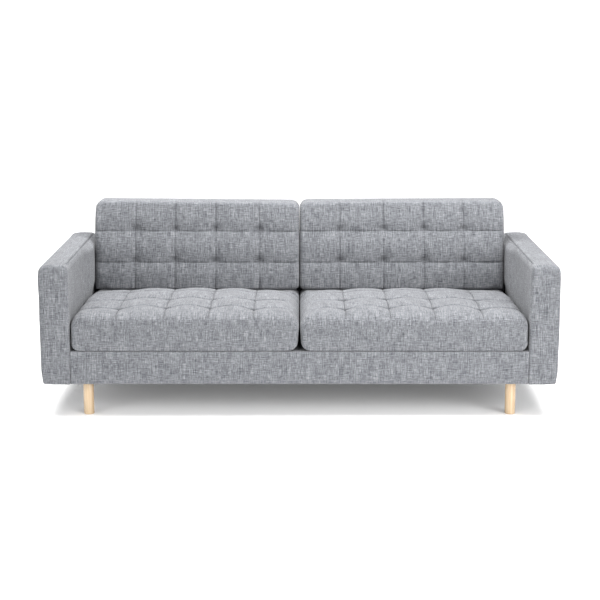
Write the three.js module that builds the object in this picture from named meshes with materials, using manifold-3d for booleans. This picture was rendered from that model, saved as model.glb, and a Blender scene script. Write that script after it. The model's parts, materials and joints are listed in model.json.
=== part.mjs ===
// A three-seat sofa on four round wooden legs, with two tufted seat cushions and two tufted back cushions.
// Units are millimetres. +Z is up, the sofa faces -Y, and the origin is on the floor under its middle.
import * as THREE from "three";
import { mergeVertices } from "three/addons/utils/BufferGeometryUtils.js";
import Module from "manifold-3d";

const wasm = await Module();
wasm.setup();

// Driving dimensions.
const WIDTH = 2040;
const DEPTH = 890;
const HEIGHT = 780;
const ARM_THICKNESS = 116;
const ARM_TOP = 612;
const UNDERSIDE = 138; // also the length of a leg
const DECK_TOP = 270; // where the seat cushions lie
const SEAT_HEIGHT = 444; // top of a seat cushion's puffs
const SEAT_DEPTH = 640; // from the front to the back cushions
const SEAT_NOSE = 396; // where a seat cushion's front turns over into its top
const BACK_TOP = 606; // top of the fixed back
const RECLINE = THREE.MathUtils.degToRad(6);

// Thicknesses and clearances.
const CLOTH = 2;
const ARM_PADDING = 10;
const ARM_EASE = 5; // between an arm's cover and its padding
const BOARD = 12;
const TIMBER = 22;
const HARDBOARD = 4;
const TOUCH = 0.3; // between pieces that rest on each other
const SLIDE = 1.2; // between a loose cushion and what it lies on
const ARM_GAP = 3; // between a seat cushion and the arm beside it

// Quilting: the seams that pull the padding down, each measured out from the sofa's middle, behind the sofa's
// front, or above the floor.
const SEAT_SEAMS_ACROSS = [182, 357, 533, 722];
const SEAT_SEAMS_ALONG = [134, 313, 492];
const BACK_SEAMS_ACROSS = [175, 362, 538, 713];
const BACK_SEAMS_UP = [513, 649];
const PUFF = 12; // how far one seam pulls the padding down
const PARTS = 4; // facets from one seam to the next
const QUILT = 42; // thickness of the padding sewn into a back cushion's face
const QUILT_BACK = 380; // height of the backing behind a seat cushion's padding
const FOAM_GAP = 0.5;
const CORE_INSET = 30; // from a cushion's ends to its foam
const ZIP_WIDTH = 3;
const ZIP_SHARE = 0.72; // of a cushion's width
const OVERSHOOT = 5; // how far a shape that trims a cushion runs past it

// Worked out from them.
const FRONT = -DEPTH / 2;
const SEAT_SIDE = WIDTH / 2 - ARM_THICKNESS; // inner face of an arm
const BASE_SIDE = SEAT_SIDE - TOUCH;
const BASE_FRONT = 2; // distances named so are behind the sofa's front
const BASE_REAR = DEPTH - 2;
const BASE_HEIGHT = DECK_TOP - UNDERSIDE;
const RAIL_HEIGHT = 104;
const RAIL_BOTTOM = 4; // above the underside, over the dust cover
const RAIL_INSET = 10; // from the base's cloth to its rails
const DUST_COVER = 2;
const DECK_PAD = 8;
const LEG_RADIUS = 20.8;
const LEG_X = 844;
const LEG_INSET = 74; // from the front and from the rear
const SLOPE = Math.tan(RECLINE);
const CUSHION_GAP = 4; // between the two cushions of a pair
const CUSHION_WIDTH = SEAT_SIDE - ARM_GAP - CUSHION_GAP / 2;
const BACK_CUSHION_WIDTH = 888;
const BACK_CUSHION_BOTTOM = 392;
const BACK_CUSHION_DEPTH = 137; // measured level, from its face to its rear
const BACK_FOOT = 767; // the fixed back's front face, where it meets the deck
const BACK_INSET = 8; // from the fixed back's cover to its frame

const cloth = new THREE.MeshStandardMaterial({ color: 0x9b9ea3, roughness: 0.95, metalness: 0 });
const birch = new THREE.MeshStandardMaterial({ color: 0xf2dcb8, roughness: 0.45, metalness: 0 });
const pine = new THREE.MeshStandardMaterial({ color: 0xd8b98c, roughness: 0.7, metalness: 0 });
const fibreboard = new THREE.MeshStandardMaterial({ color: 0xa07c52, roughness: 0.8, metalness: 0 });
const foam = new THREE.MeshStandardMaterial({ color: 0xf3ecd0, roughness: 0.9, metalness: 0 });
const steel = new THREE.MeshStandardMaterial({ color: 0xb4b8bc, roughness: 0.35, metalness: 0.9 });
const lining = new THREE.MeshStandardMaterial({ color: 0x2c2d30, roughness: 0.9, metalness: 0 });

// Solids.

// A closed geometry as a solid that can be cut.
function solidOf(geometry) {
  const bare = geometry.clone();
  bare.deleteAttribute("normal");
  bare.deleteAttribute("uv");
  const merged = mergeVertices(bare, 1e-3);
  return new wasm.Manifold(
    new wasm.Mesh({
      numProp: 3,
      vertProperties: merged.attributes.position.array,
      triVerts: new Uint32Array(merged.index.array),
    }),
  );
}

function geometryOf(solid) {
  const mesh = solid.getMesh();
  const geometry = new THREE.BufferGeometry();
  geometry.setAttribute("position", new THREE.BufferAttribute(mesh.vertProperties, 3));
  geometry.setIndex(new THREE.BufferAttribute(mesh.triVerts, 1));
  geometry.computeVertexNormals();
  return geometry;
}

// A geometry with others cut out of it.
function cut(geometry, ...tools) {
  return geometryOf(tools.reduce((left, tool) => left.subtract(solidOf(tool)), solidOf(geometry)));
}

// Several geometries as one body.
function joined(...geometries) {
  const [first, ...others] = geometries.map(solidOf);
  return geometryOf(others.reduce((left, other) => left.add(other), first));
}

// What several geometries have in common.
function common(...geometries) {
  const [first, ...others] = geometries.map(solidOf);
  return geometryOf(others.reduce((left, other) => left.intersect(other), first));
}

// A box between two corners.
function box(x0, x1, y0, y1, z0, z1) {
  const geometry = new THREE.BoxGeometry(x1 - x0, y1 - y0, z1 - z0);
  return geometry.translate((x0 + x1) / 2, (y0 + y1) / 2, (z0 + z1) / 2);
}

// A round bar along X or Z, centred on a point.
function bar(axis, radius, length, x, y, z, sides = 16) {
  const geometry = new THREE.CylinderGeometry(radius, radius, length, sides);
  if (axis === "x") geometry.rotateZ(Math.PI / 2);
  else geometry.rotateX(Math.PI / 2);
  return geometry.translate(x, y, z);
}

// A side view, drawn in Y and Z as corner points [y, z, radius], each corner rounded to its own radius.
function sideView(corners) {
  const points = corners.map(([y, z]) => new THREE.Vector2(y, z));
  const shape = new THREE.Shape();
  corners.forEach(([, , radius], i) => {
    const here = points[i];
    const before = points[(i + points.length - 1) % points.length];
    const after = points[(i + 1) % points.length];
    const start = here.clone().add(before.clone().sub(here).setLength(radius));
    const end = here.clone().add(after.clone().sub(here).setLength(radius));
    if (i === 0) shape.moveTo(start.x, start.y);
    else shape.lineTo(start.x, start.y);
    if (radius > 0) shape.quadraticCurveTo(here.x, here.y, end.x, end.y);
  });
  shape.closePath();
  return shape;
}

// The side view as a block from x0 to x1, its edges at the two ends rounded.
function slab(shape, x0, x1, edge = 0, steps = 2) {
  const geometry = new THREE.ExtrudeGeometry(shape, {
    depth: x1 - x0 - 2 * edge,
    bevelEnabled: edge > 0,
    bevelThickness: edge,
    bevelSize: edge,
    bevelOffset: -edge,
    bevelSegments: steps,
    curveSegments: 2 * steps,
  });
  const turn = new THREE.Matrix4().makeBasis(
    new THREE.Vector3(0, 1, 0),
    new THREE.Vector3(0, 0, 1),
    new THREE.Vector3(1, 0, 0),
  );
  return geometry.applyMatrix4(turn).translate(x0 + edge, 0, 0);
}

// A front view, drawn in X and Z, as a block from y0 to y1.
function frontView(shape, y0, y1) {
  const options = { depth: y1 - y0, bevelEnabled: false, curveSegments: 4 };
  return new THREE.ExtrudeGeometry(shape, options).rotateX(Math.PI / 2).translate(0, y1, 0);
}

// A view from above, drawn in X and Y, as a block from z0 to z1.
function planView(shape, z0, z1) {
  const options = { depth: z1 - z0, bevelEnabled: false, curveSegments: 4 };
  return new THREE.ExtrudeGeometry(shape, options).translate(0, 0, z0);
}

// A block leant back to the recline, about the height where the back cushions stand.
function leaning(geometry) {
  const lean = new THREE.Matrix4().makeShear(0, 0, 0, 0, 0, SLOPE);
  const foot = BACK_CUSHION_BOTTOM;
  return geometry.translate(0, 0, -foot).applyMatrix4(lean).translate(0, 0, foot);
}

const sofa = new THREE.Group();

// Adds a named piece to a group, at a place in it.
function piece(group, name, geometry, material, x = 0, y = 0, z = 0) {
  const mesh = new THREE.Mesh(geometry, material);
  mesh.name = name;
  mesh.position.set(x, y, z);
  group.add(mesh);
}

function groupAt(x, y, z) {
  const group = new THREE.Group();
  group.position.set(x, y, z);
  sofa.add(group);
  return group;
}

// The bolts that join each arm to the base and the back, by how far each is behind the front and how high.
const BOLTS = {
  front: { place: 190, height: 200, into: "base" },
  rear: { place: 700, height: 200, into: "base" },
  back: { place: 838, height: 450, into: "back" },
};
const BOLT_RADIUS = 4;
const BOLT_HOLE = 4.8;

// Holes along X for the arm bolts, for a group whose origin stands at y and z.
function boltHoles(parts, x, length, y, z) {
  return Object.values(BOLTS)
    .filter(({ into }) => parts.includes(into))
    .map(({ place, height }) => bar("x", BOLT_HOLE, length, x, FRONT + place - y, height - z));
}

// One arm: a timber and board box, padded and covered. Its group's origin is the middle of its underside.
function addArm(name, side) {
  const arm = groupAt(side * (WIDTH / 2 - ARM_THICKNESS / 2), 0, UNDERSIDE);
  const height = ARM_TOP - UNDERSIDE;
  const inward = -side;

  // A block the shape of the arm, smaller all round by `inset` and longer below by `below`.
  const body = (inset, below) => {
    const reach = DEPTH / 2 - inset;
    const half = ARM_THICKNESS / 2 - inset;
    const top = height - inset;
    const round = 18 - inset / 2;
    const outline = [
      [-reach, -below, 0],
      [reach, -below, 0],
      [reach, top, round],
      [-reach, top, round],
    ];
    return slab(sideView(outline), -half, half, 12 - inset / 2);
  };
  // A body is made too long below, and cut off square.
  const cutOff = (z) => box(-100, 100, -DEPTH, DEPTH, -100, z);
  const skin = body(0, 30);
  const cavity = body(CLOTH, 60);
  const padInset = CLOTH + ARM_EASE;
  const pad = body(padInset, 30);
  const padCavity = body(padInset + ARM_PADDING, 60);
  const holes = (x, length) => boltHoles(["base", "back"], x, length, 0, UNDERSIDE);
  const skinHoles = holes(inward * (ARM_THICKNESS / 2), 40);
  piece(arm, `${name}_arm_cover`, cut(skin, cavity, cutOff(0), ...skinHoles), cloth);
  piece(arm, `${name}_arm_padding`, cut(pad, padCavity, cutOff(16), ...skinHoles), foam);

  const frameInset = padInset + ARM_PADDING + 4;
  const half = ARM_THICKNESS / 2 - frameInset;
  const reach = DEPTH / 2 - frameInset;
  const top = height - frameInset;
  const web = half - BOARD - TOUCH; // half the space between the two boards
  const board = (side2) => {
    const outer = side2 * half;
    const [x0, x1] = [outer, outer - side2 * BOARD].sort((a, b) => a - b);
    return box(x0, x1, -reach, reach, 2, top);
  };
  piece(arm, `${name}_arm_outer_board`, board(side), fibreboard);
  piece(arm, `${name}_arm_inner_board`, cut(board(inward), ...holes(inward * half, 3 * BOARD)), fibreboard);
  const post = box(-web, web, -TIMBER / 2, TIMBER / 2, 2 + TIMBER + TOUCH, top - TIMBER - TOUCH);
  piece(arm, `${name}_arm_front_post`, post, pine, 0, -reach + TIMBER / 2, 0);
  piece(arm, `${name}_arm_rear_post`, post.clone(), pine, 0, reach - TIMBER / 2, 0);
  const rail = box(-web, web, -reach, reach, -TIMBER, 0);
  piece(arm, `${name}_arm_top_rail`, rail, pine, 0, 0, top);
  piece(arm, `${name}_arm_bottom_rail`, rail.clone(), pine, 0, 0, 2 + TIMBER);
}

// The base: a rectangle of rails with a middle rail and a rail for the springs, under one stretched cover.
const RAIL_SIDE = BASE_SIDE - RAIL_INSET;
const RAIL_FRONT = BASE_FRONT + RAIL_INSET;
const RAIL_REAR = BASE_REAR - RAIL_INSET;
const SPRING_RAIL = 716; // front face of the rail that the springs reach, behind the sofa's front

function addBase() {
  const base = groupAt(0, 0, UNDERSIDE);
  const edge = 6;
  const outline = (inset, below) =>
    sideView([
      [FRONT + BASE_FRONT + inset, -below, 0],
      [FRONT + BASE_REAR - inset, -below, 0],
      [FRONT + BASE_REAR - inset, BASE_HEIGHT - inset, edge],
      [FRONT + BASE_FRONT + inset, BASE_HEIGHT - inset, edge],
    ]);
  const skin = slab(outline(0, 20), -BASE_SIDE, BASE_SIDE, 3, 1);
  const cavity = slab(outline(CLOTH, 60), -BASE_SIDE + CLOTH, BASE_SIDE - CLOTH);
  const cutOff = box(-WIDTH, WIDTH, -DEPTH, DEPTH, -100, 0);
  const holes = (x, length) => boltHoles(["base"], x, length, 0, UNDERSIDE);
  piece(base, "base_cover", cut(skin, cavity, cutOff, ...holes(0, 2 * WIDTH)), cloth);

  const top = RAIL_BOTTOM + RAIL_HEIGHT;
  const crossRail = box(-RAIL_SIDE, RAIL_SIDE, 0, TIMBER, RAIL_BOTTOM, top);
  piece(base, "base_front_rail", crossRail, pine, 0, FRONT + RAIL_FRONT, 0);
  piece(base, "base_rear_rail", crossRail.clone(), pine, 0, FRONT + RAIL_REAR - TIMBER, 0);
  const sideStart = FRONT + RAIL_FRONT + TIMBER + TOUCH;
  const sideEnd = FRONT + RAIL_REAR - TIMBER - TOUCH;
  for (const [name, side] of [["left", -1], ["right", 1]]) {
    const [x0, x1] = [side * RAIL_SIDE, side * (RAIL_SIDE - TIMBER)].sort((a, b) => a - b);
    const rail = box(x0, x1, sideStart, sideEnd, RAIL_BOTTOM, top);
    piece(base, `base_${name}_rail`, cut(rail, ...holes(side * RAIL_SIDE, 4 * TIMBER)), pine);
  }
  const inside = RAIL_SIDE - TIMBER - TOUCH;
  const springRail = box(-inside, inside, 0, TIMBER, RAIL_BOTTOM, top);
  piece(base, "base_spring_rail", springRail, pine, 0, FRONT + SPRING_RAIL, 0);
  const middleEnd = FRONT + SPRING_RAIL - TOUCH;
  const middleRail = box(-TIMBER / 2, TIMBER / 2, sideStart, middleEnd, RAIL_BOTTOM, top);
  piece(base, "base_middle_rail", middleRail, pine);

  const deckPad = box(-RAIL_SIDE, RAIL_SIDE, FRONT + RAIL_FRONT, FRONT + RAIL_REAR, 0, DECK_PAD);
  piece(base, "deck_pad", deckPad, foam, 0, 0, BASE_HEIGHT - CLOTH - TOUCH - DECK_PAD);

  const sheet = box(
    -BASE_SIDE + CLOTH + 1, BASE_SIDE - CLOTH - 1,
    FRONT + BASE_FRONT + CLOTH + 1, FRONT + BASE_REAR - CLOTH - 1,
    0, DUST_COVER,
  );
  const legHoles = legPlaces().map(([, x, y]) => bar("z", 8, 20, x, y, 0));
  piece(base, "dust_cover", cut(sheet, ...legHoles), lining);
}

// Each seat's springs: arched zigzag wires from the front rail to the spring rail, tied by straight ones.
const SPRINGS_PER_SEAT = 4;
const WIRE_RADIUS = 1.9;
const WIRE_SIDES = 5;
const SPRING_WIDTH = 52;
const SPRING_WAVES = 5;
const SPRING_RISE = 9;
const STEPS_PER_WAVE = 6;
const TIES = [1 / 3, 2 / 3]; // shares of the springs' length

function springGeometry(length) {
  const count = SPRING_WAVES * STEPS_PER_WAVE;
  const points = [];
  for (let i = 0; i <= count; i++) {
    const share = i / count;
    const wave = Math.sin(2 * Math.PI * SPRING_WAVES * share);
    // A sine of a sine has rounder bends and straighter runs than a plain one.
    const across = (SPRING_WIDTH / 2) * Math.sin((Math.PI / 2) * wave);
    points.push(new THREE.Vector3(across, share * length, SPRING_RISE * Math.sin(Math.PI * share)));
  }
  const section = new THREE.Shape();
  for (let i = 0; i < WIRE_SIDES; i++) {
    const turn = (2 * Math.PI * i) / WIRE_SIDES;
    const [x, y] = [WIRE_RADIUS * Math.cos(turn), WIRE_RADIUS * Math.sin(turn)];
    if (i === 0) section.moveTo(x, y);
    else section.lineTo(x, y);
  }
  section.closePath();
  const path = new THREE.CatmullRomCurve3(points);
  return new THREE.ExtrudeGeometry(section, { steps: count, extrudePath: path });
}

function addSprings() {
  const start = RAIL_FRONT + TIMBER / 2;
  const length = SPRING_RAIL + TIMBER / 2 - start;
  const height = RAIL_BOTTOM + RAIL_HEIGHT + WIRE_RADIUS + TOUCH;
  const springs = groupAt(0, FRONT + start, UNDERSIDE + height);
  const bay = RAIL_SIDE - TIMBER;
  const spacing = bay / SPRINGS_PER_SEAT;
  for (const [name, side] of [["left", -1], ["right", 1]]) {
    const wires = [];
    for (let i = 0; i < SPRINGS_PER_SEAT; i++)
      wires.push(springGeometry(length).translate((i + 0.5) * spacing - bay / 2, 0, 0));
    for (const share of TIES) {
      const rise = SPRING_RISE * Math.sin(Math.PI * share);
      wires.push(bar("x", WIRE_RADIUS, bay - spacing + SPRING_WIDTH, 0, share * length, rise, WIRE_SIDES));
    }
    piece(springs, `${name}_seat_springs`, joined(...wires), steel, (side * bay) / 2, 0, 0);
  }
}

// The fixed back, which stands on the base between the arms, its front sloped to the recline.
function addBack() {
  const back = groupAt(0, FRONT, DECK_TOP + TOUCH);
  const height = BACK_TOP - DECK_TOP - TOUCH;
  const side = BASE_SIDE;
  // The side view, smaller all round by `inset` and longer below by `below`.
  const outline = (inset, below) => {
    const face = (z) => BACK_FOOT + inset / Math.cos(RECLINE) + SLOPE * z;
    return sideView([
      [face(-below), -below, 0],
      [BASE_REAR - inset, -below, 0],
      [BASE_REAR - inset, height - inset, Math.max(14 - inset, 2)],
      [face(height - inset), height - inset, Math.max(14 - inset, 2)],
    ]);
  };
  const skin = slab(outline(0, 0), -side, side, 3, 1);
  const cavity = slab(outline(CLOTH, 40), -side + CLOTH, side - CLOTH);
  const holes = (x, length) => boltHoles(["back"], x, length, FRONT, DECK_TOP + TOUCH);
  piece(back, "back_cover", cut(skin, cavity, ...holes(0, 2 * WIDTH)), cloth);

  const inset = BACK_INSET;
  const boardInset = inset + HARDBOARD / Math.cos(RECLINE) + TOUCH;
  const face = (z, more) => BACK_FOOT + more / Math.cos(RECLINE) + SLOPE * z;
  const top = height - inset;
  const board = sideView([
    [face(1, inset), 1, 0],
    [face(1, inset + HARDBOARD), 1, 0],
    [face(top, inset + HARDBOARD), top, 0],
    [face(top, inset), top, 0],
  ]);
  const reach = side - inset;
  piece(back, "back_front_board", slab(board, -reach, reach), fibreboard);

  const rear = BASE_REAR - inset;
  const stile = sideView([
    [face(1, boardInset), 1, 0],
    [rear, 1, 0],
    [rear, top, 0],
    [face(top, boardInset), top, 0],
  ]);
  const endHoles = holes(0, 2 * WIDTH);
  piece(back, "back_left_stile", cut(slab(stile, -reach, -reach + TIMBER), ...endHoles), pine);
  piece(back, "back_right_stile", cut(slab(stile, reach - TIMBER, reach), ...endHoles), pine);
  const inside = reach - TIMBER - TOUCH;
  const topRail = sideView([
    [face(top - TIMBER, boardInset), top - TIMBER, 0],
    [rear, top - TIMBER, 0],
    [rear, top, 0],
    [face(top, boardInset), top, 0],
  ]);
  piece(back, "back_top_rail", slab(topRail, -inside, inside), pine);
  const bottomRail = sideView([
    [face(1, boardInset), 1, 0],
    [rear, 1, 0],
    [rear, 1 + TIMBER, 0],
    [face(1 + TIMBER, boardInset), 1 + TIMBER, 0],
  ]);
  piece(back, "back_bottom_rail", slab(bottomRail, -inside, inside), pine);
  const [low, high] = [1 + TIMBER + TOUCH, top - TIMBER - TOUCH];
  const centreStile = sideView([
    [face(low, boardInset), low, 0],
    [rear, low, 0],
    [rear, high, 0],
    [face(high, boardInset), high, 0],
  ]);
  piece(back, "back_centre_stile", slab(centreStile, -TIMBER / 2, TIMBER / 2), pine);
}

// A solid between a surface and a flat sheet behind it, both given as a point for each pair of steps.
function relief(us, vs, surface, behind) {
  const columns = vs.length;
  const count = us.length * columns;
  const positions = [];
  const grid = us.flatMap((u) => vs.map((v) => [u, v]));
  for (const place of [surface, behind]) positions.push(...grid.flatMap(([u, v]) => place(u, v)));
  const index = [];
  const quad = (a, b, c, d) => index.push(a, b, c, a, c, d);
  for (let i = 0; i + 1 < us.length; i++)
    for (let j = 0; j + 1 < columns; j++) {
      const a = i * columns + j;
      quad(a, a + columns, a + columns + 1, a + 1);
      quad(count + a, count + a + 1, count + a + columns + 1, count + a + columns);
    }
  const rim = [];
  for (let i = 0; i < us.length; i++) rim.push(i * columns);
  for (let j = 1; j < columns; j++) rim.push((us.length - 1) * columns + j);
  for (let i = us.length - 2; i >= 0; i--) rim.push(i * columns + columns - 1);
  for (let j = columns - 2; j > 0; j--) rim.push(j);
  rim.forEach((a, k) => {
    const b = rim[(k + 1) % rim.length];
    quad(a, count + a, count + b, b);
  });
  const geometry = new THREE.BufferGeometry();
  geometry.setAttribute("position", new THREE.Float32BufferAttribute(positions, 3));
  geometry.setIndex(index);
  return geometry;
}

// A rectangle's outline between two corners, with all its own corners rounded.
function roundedRectangle(u0, u1, v0, v1, radius) {
  return sideView([[u0, v0, radius], [u1, v0, radius], [u1, v1, radius], [u0, v1, radius]]);
}

// Steps across a cushion: its two edges, its seams, and the quarters of every panel between them.
function stepsAcross(edges) {
  const steps = [edges[0]];
  for (let i = 0; i + 1 < edges.length; i++)
    for (let part = 1; part <= PARTS; part++)
      steps.push(edges[i] + ((edges[i + 1] - edges[i]) * part) / PARTS);
  return steps;
}

// How high the padding stands at a place between seams: 0 on a seam, 1 in the middle of a panel, and 1 beyond
// the middle of the panels at the edges.
function swell(seams, place) {
  const last = seams.length - 1;
  const beyond = Math.max(seams[0] - place, place - seams[last]);
  if (beyond >= 0) return Math.sin(Math.PI * Math.min(0.5, beyond / (seams[1] - seams[0])));
  const i = seams.findIndex((seam) => seam > place) - 1;
  return Math.sin((Math.PI * (place - seams[i])) / (seams[i + 1] - seams[i]));
}

// Seams given as distances out from the sofa's middle, as places across the cushion on one side.
function seamsOn(side, distances, middle) {
  return distances.map((distance) => side * (distance - middle)).sort((a, b) => a - b);
}

// A loose cushion: a quilted cover around a block of foam, with the cover's zip slit at its rear.
function addCushion(name, x, body, hollow, block, slit) {
  const cushion = groupAt(x, FRONT, 0);
  piece(cushion, `${name}_cover`, cut(body, hollow, slit), cloth);
  piece(cushion, `${name}_core`, block, foam);
}

// The seat cushions are flat below, and level again under the back cushions.
function addSeatCushion(name, side) {
  const bottom = DECK_TOP + SLIDE;
  const top = SEAT_HEIGHT;
  const front = BASE_FRONT + 1;
  const rear = BACK_FOOT - 6;
  const rearTop = BACK_CUSHION_BOTTOM - 2;
  const half = CUSHION_WIDTH / 2;
  const middle = CUSHION_GAP / 2 + half;
  const columns = seamsOn(side, SEAT_SEAMS_ACROSS, middle);
  const outline = sideView([
    [front, bottom, 26],
    [rear, bottom, 6],
    [rear, rearTop, 6],
    [SEAT_DEPTH - 4, rearTop, 4],
    [SEAT_DEPTH - 44, top - 34, 20],
    [SEAT_DEPTH - 200, top + 2, 80],
    [150, top - 6, 50],
    [front, SEAT_NOSE, 14],
  ]);
  const ends = roundedRectangle(-half, half, bottom, top + 2, 30);
  const xs = stepsAcross([-half - OVERSHOOT, ...columns, half + OVERSHOOT]);
  const ys = stepsAcross([front - OVERSHOOT, ...SEAT_SEAMS_ALONG, rear + OVERSHOOT]);
  const height = (x, y) => top - PUFF * (2 - swell(columns, x) - swell(SEAT_SEAMS_ALONG, y));
  const padding = relief(
    xs,
    ys,
    (x, y) => [x, y, height(x, y)],
    (x, y) => [x, y, bottom - OVERSHOOT],
  );
  const body = common(
    slab(outline, -half, half),
    padding,
    frontView(ends, front - OVERSHOOT, rear + OVERSHOOT),
    planView(roundedRectangle(-half, half, front, rear, 24), bottom - OVERSHOOT, top + OVERSHOOT),
  );
  const inner = (gap) =>
    sideView([
      [front + 16 + gap, bottom + 8 + gap, 20],
      [rear - 10 - gap, bottom + 8 + gap, 0],
      [rear - 10 - gap, QUILT_BACK - gap, 0],
      [front + 44 + gap, QUILT_BACK - gap, 0],
      [front + 16 + gap, QUILT_BACK - 16 - gap, 8],
    ]);
  const reach = half - CORE_INSET;
  const hollow = slab(inner(0), -reach, reach);
  const block = slab(inner(FOAM_GAP), FOAM_GAP - reach, reach - FOAM_GAP);
  const zip = half * ZIP_SHARE;
  const slit = box(-zip, zip, rear - 14, rear + OVERSHOOT, bottom + 50, bottom + 50 + ZIP_WIDTH);
  addCushion(`${name}_seat_cushion`, side * middle, body, hollow, block, slit);
}

// The back cushions stand on the rear of the seat cushions and lean on the fixed back.
function addBackCushion(name, side) {
  const bottom = BACK_CUSHION_BOTTOM;
  const top = HEIGHT;
  const half = BACK_CUSHION_WIDTH / 2;
  const middle = CUSHION_GAP / 2 + half;
  const columns = seamsOn(side, BACK_SEAMS_ACROSS, middle);
  const face = (z) => SEAT_DEPTH + SLOPE * (z - bottom);
  const rear = (z) => face(z) + BACK_CUSHION_DEPTH;
  const outline = sideView([
    [face(bottom) - 2, bottom, 24],
    [rear(bottom), bottom, 14],
    [rear(top - 14), top - 14, 34],
    [face(top) + 62, top + 1, 20],
    [face(top) - 2, top - 8, 24],
  ]);
  const ends = roundedRectangle(-half, half, bottom, top + 1, 32);
  const xs = stepsAcross([-half - OVERSHOOT, ...columns, half + OVERSHOOT]);
  const zs = stepsAcross([bottom - OVERSHOOT, ...BACK_SEAMS_UP, top + OVERSHOOT]);
  const sunk = (x, z) => PUFF * (2 - swell(columns, x) - swell(BACK_SEAMS_UP, z));
  const padding = relief(
    xs,
    zs,
    (x, z) => [x, face(z) - 2 + sunk(x, z), z],
    (x, z) => [x, rear(z) + OVERSHOOT, z],
  );
  const plan = roundedRectangle(-half, half, face(bottom) - 4, rear(bottom), 26);
  const body = common(
    slab(outline, -half, half),
    padding,
    frontView(ends, face(bottom) - OVERSHOOT, rear(top) + OVERSHOOT),
    leaning(planView(plan, bottom - OVERSHOOT, top + OVERSHOOT)),
  );
  const inner = (gap) =>
    sideView([
      [face(bottom + 12) + QUILT + gap, bottom + 12 + gap, 0],
      [rear(bottom + 12) - 14 - gap, bottom + 12 + gap, 0],
      [rear(top - 56) - 14 - gap, top - 56 - gap, 0],
      [face(top - 40) + QUILT + 22 + gap, top - 40 - gap, 0],
      [face(top - 50) + QUILT + gap, top - 50 - gap, 0],
    ]);
  const reach = half - CORE_INSET;
  const hollow = slab(inner(0), -reach, reach);
  const block = slab(inner(FOAM_GAP), FOAM_GAP - reach, reach - FOAM_GAP);
  const zip = half * ZIP_SHARE;
  const zipPlace = (face(bottom) + rear(bottom) - ZIP_WIDTH) / 2;
  const slit = box(-zip, zip, zipPlace, zipPlace + ZIP_WIDTH, bottom - OVERSHOOT, bottom + 14);
  addCushion(`${name}_back_cushion`, side * middle, body, hollow, block, slit);
}

// Names and places of the four legs.
function legPlaces() {
  const y = DEPTH / 2 - LEG_INSET;
  return [
    ["front_left", -LEG_X, -y],
    ["front_right", LEG_X, -y],
    ["rear_left", -LEG_X, y],
    ["rear_right", LEG_X, y],
  ];
}

// Each leg is a turned cylinder that a hanger bolt joins to a block in the base's corner.
function addLeg(name, x, y) {
  const leg = groupAt(x, y, 0);
  const length = UNDERSIDE - TOUCH;
  const hole = 46; // depth of the bolt's hole in the leg
  const chamfer = 2;
  const profile = [
    [0, 0],
    [LEG_RADIUS - chamfer, 0],
    [LEG_RADIUS, chamfer],
    [LEG_RADIUS, length - 1],
    [LEG_RADIUS - 1, length],
    [BOLT_HOLE, length],
    [BOLT_HOLE, length - hole],
    [0, length - hole],
  ].map(([r, z]) => new THREE.Vector2(r, z));
  piece(leg, `${name}_leg`, new THREE.LatheGeometry(profile, 28).rotateX(Math.PI / 2), birch);

  const boltLength = 88;
  const boltMiddle = length - hole + TOUCH + boltLength / 2;
  piece(leg, `${name}_leg_bolt`, bar("z", BOLT_RADIUS, boltLength, 0, 0, 0), steel, 0, 0, boltMiddle);

  // The block fills the corner between two rails.
  const outX = Math.sign(x) * (RAIL_SIDE - TIMBER - TOUCH) - x;
  const rearwards = Math.sign(y);
  const railFace = rearwards > 0 ? RAIL_REAR - TIMBER : RAIL_FRONT + TIMBER;
  const outY = FRONT + railFace - rearwards * TOUCH - y;
  const size = 96;
  const [x0, x1] = [outX, outX - Math.sign(x) * size].sort((a, b) => a - b);
  const [y0, y1] = [outY, outY - rearwards * size].sort((a, b) => a - b);
  const bottom = UNDERSIDE + RAIL_BOTTOM;
  const block = box(x0, x1, y0, y1, bottom, bottom + 44);
  piece(leg, `${name}_corner_block`, cut(block, bar("z", BOLT_HOLE, 200, 0, 0, bottom)), pine);
}

// An arm bolt: a hexagonal head inside the base or the back, and a shank that reaches into the arm.
function addArmBolt(name, side, { place, height, into }) {
  const inside = (into === "base" ? RAIL_SIDE : BASE_SIDE - BACK_INSET) - TIMBER - TOUCH;
  const bolt = groupAt(side * inside, FRONT + place, height);
  const headLength = 5.5;
  const head = new THREE.CylinderGeometry(7.5, 7.5, headLength, 6);
  head.rotateZ(Math.PI / 2).translate((-side * headLength) / 2, 0, 0);
  const length = 66;
  const shank = bar("x", BOLT_RADIUS, length, side * (length / 2 - headLength / 2), 0, 0);
  piece(bolt, name, joined(head, shank), steel);
}

addBase();
addSprings();
addBack();
for (const [name, side] of [["left", -1], ["right", 1]]) {
  addArm(name, side);
  addSeatCushion(name, side);
  addBackCushion(name, side);
  for (const [end, bolt] of Object.entries(BOLTS)) addArmBolt(`${name}_arm_bolt_${end}`, side, bolt);
}
for (const [name, x, y] of legPlaces()) addLeg(name, x, y);

export default sofa;
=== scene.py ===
"""A grey sofa with tufted cushions and pale wooden legs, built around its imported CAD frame.

Lengths are metres. +Z is up, the sofa faces -Y, and the origin is on the floor under its middle.
"""

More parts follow.
